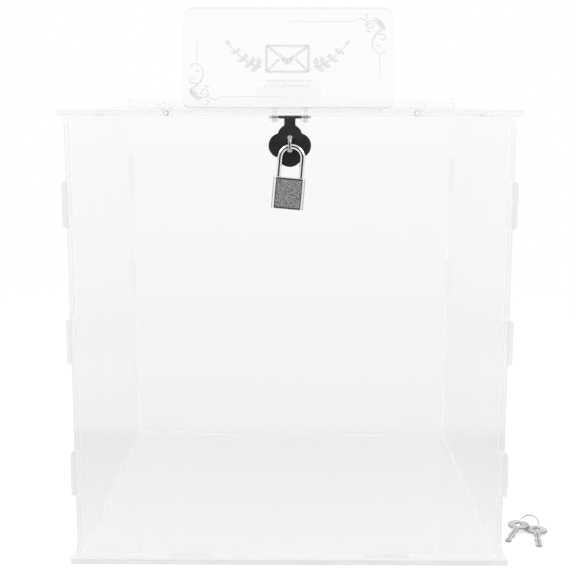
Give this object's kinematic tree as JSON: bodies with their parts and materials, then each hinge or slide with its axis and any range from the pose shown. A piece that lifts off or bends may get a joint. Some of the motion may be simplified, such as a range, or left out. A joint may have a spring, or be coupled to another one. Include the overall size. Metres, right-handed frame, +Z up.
{
  "type": "acrylic card box",
  "caption": "Clear tabbed acrylic card box with a hinged slotted lid, a strap hasp with a small padlock, a propped sign and loose keys.",
  "frame": {"origin": "centre of the base plate's underside", "axes": "+Z up, -Y towards the front with the padlock, +X to the right of someone facing the front"},
  "size_m": [0.2946, 0.2617, 0.3276],
  "materials": {
    "clear_back": "clear polished acrylic",
    "clear_base": "clear polished acrylic",
    "clear_front": "clear polished acrylic",
    "nylon_hasp_bolt_left": "clear nylon",
    "nylon_hasp_bolt_right": "clear nylon",
    "strap_flap": "black flexible plastic",
    "strap_lid_half": "black flexible plastic",
    "nylon_hasp_nut_left": "clear nylon",
    "nylon_hasp_nut_right": "clear nylon",
    "clear_hinge_lid_leaf_left": "clear moulded plastic",
    "clear_hinge_lid_leaf_right": "clear moulded plastic",
    "plated_hinge_lid_nut_left": "plated steel",
    "plated_hinge_lid_nut_right": "plated steel",
    "plated_hinge_lid_screw_left": "plated steel",
    "plated_hinge_lid_screw_right": "plated steel",
    "plated_hinge_pin_left": "plated steel",
    "plated_hinge_pin_right": "plated steel",
    "clear_hinge_wall_leaf_left": "clear moulded plastic",
    "clear_hinge_wall_leaf_right": "clear moulded plastic",
    "plated_hinge_wall_nut_left": "plated steel",
    "plated_hinge_wall_nut_right": "plated steel",
    "plated_hinge_wall_screw_left": "plated steel",
    "plated_hinge_wall_screw_right": "plated steel",
    "nickel_key_left": "nickel-plated steel",
    "nickel_key_right": "nickel-plated steel",
    "bright_ring": "bright steel wire",
    "clear_left_panel": "clear polished acrylic",
    "clear_lid": "clear polished acrylic",
    "grained_padlock_back_face": "grey grained face",
    "bright_case": "bright plated case",
    "grained_padlock_front_face": "grey grained face",
    "brass_plug": "turned brass",
    "bright_shackle": "bright plated wire",
    "clear_right_panel": "clear polished acrylic",
    "clear_sign": "clear polished acrylic",
    "clear_prop": "clear polished acrylic",
    "bright_staple": "bright plated wire",
    "black_staple_backing": "black plastic",
    "plated_staple_nut_lower": "plated steel",
    "plated_staple_nut_upper": "plated steel"
  },
  "bodies": {
    "box": {"base_panel": "clear_base", "front_panel": "clear_front", "back_panel": "clear_back", "left_panel": "clear_left_panel", "right_panel": "clear_right_panel", "staple": "bright_staple", "staple_backing": "black_staple_backing", "staple_nut_lower": "plated_staple_nut_lower", "staple_nut_upper": "plated_staple_nut_upper", "hinge_wall_leaf_left": "clear_hinge_wall_leaf_left", "hinge_wall_leaf_right": "clear_hinge_wall_leaf_right", "hinge_pin_left": "plated_hinge_pin_left", "hinge_pin_right": "plated_hinge_pin_right", "hinge_wall_screw_left": "plated_hinge_wall_screw_left", "hinge_wall_screw_right": "plated_hinge_wall_screw_right", "hinge_wall_nut_left": "plated_hinge_wall_nut_left", "hinge_wall_nut_right": "plated_hinge_wall_nut_right"},
    "lid": {"lid_panel": "clear_lid", "hasp_lid_half": "strap_lid_half", "hinge_lid_leaf_left": "clear_hinge_lid_leaf_left", "hinge_lid_leaf_right": "clear_hinge_lid_leaf_right", "hinge_lid_screw_left": "plated_hinge_lid_screw_left", "hinge_lid_screw_right": "plated_hinge_lid_screw_right", "hinge_lid_nut_left": "plated_hinge_lid_nut_left", "hinge_lid_nut_right": "plated_hinge_lid_nut_right", "hasp_bolt_left": "nylon_hasp_bolt_left", "hasp_bolt_right": "nylon_hasp_bolt_right", "hasp_nut_left": "nylon_hasp_nut_left", "hasp_nut_right": "nylon_hasp_nut_right"},
    "hasp_flap": {"hasp_flap": "strap_flap"},
    "shackle": {"padlock_shackle": "bright_shackle"},
    "padlock": {"padlock_case": "bright_case", "padlock_front_face": "grained_padlock_front_face", "padlock_back_face": "grained_padlock_back_face"},
    "plug": {"padlock_plug": "brass_plug"},
    "sign": {"sign_plate": "clear_sign", "sign_prop": "clear_prop"},
    "key_ring": {"key_ring": "bright_ring"},
    "key_left": {"key_left": "nickel_key_left"},
    "key_right": {"key_right": "nickel_key_right"}
  },
  "joints": [
    {"name": "lid_hinge", "type": "hinge", "parent": "box", "child": "lid", "pos_m": [0, 0.1173, 0.269], "axis": [-1, 0, 0], "range_deg": [0, 110]},
    {"name": "hasp_fold", "type": "hinge", "parent": "lid", "child": "hasp_flap", "pos_m": [0, -0.124, 0.263], "axis": [-1, 0, 0], "range_deg": [0, 70]},
    {"name": "lock_swing", "type": "hinge", "parent": "box", "child": "shackle", "pos_m": [0, -0.1275, 0.24425], "axis": [0, 1, 0], "range_deg": [-30, 30]},
    {"name": "lock_open", "type": "slide", "parent": "shackle", "child": "padlock", "axis": [-0.0872, 0, -0.9962], "range_m": [0, 0.005]},
    {"name": "plug_turn", "type": "hinge", "parent": "padlock", "child": "plug", "pos_m": [-0.0016, -0.1275, 0.21222], "axis": [0.0872, 0, 0.9962], "range_deg": [0, 90]},
    {"name": "sign_lift", "type": "slide", "parent": "lid", "child": "sign", "axis": [0, 0, 1], "range_m": [0, 0.05]},
    {"name": "keys_lift", "type": "slide", "parent": "box", "child": "key_ring", "axis": [0, 0, 1], "range_m": [0, 0.05]},
    {"name": "key_left_swing", "type": "hinge", "parent": "key_ring", "child": "key_left", "pos_m": [0.1543, -0.0738, 0.00428], "axis": [0.1956, 0.6399, -0.7431], "range_deg": [0, 12]},
    {"name": "key_right_swing", "type": "hinge", "parent": "key_ring", "child": "key_right", "pos_m": [0.1543, -0.0738, 0.00428], "axis": [-0.1956, -0.6399, 0.7431], "range_deg": [0, 40]}
  ],
  "couplings": [
    {"joint": "hasp_fold", "follows": "lid_hinge", "ratio": 0.63}
  ]
}
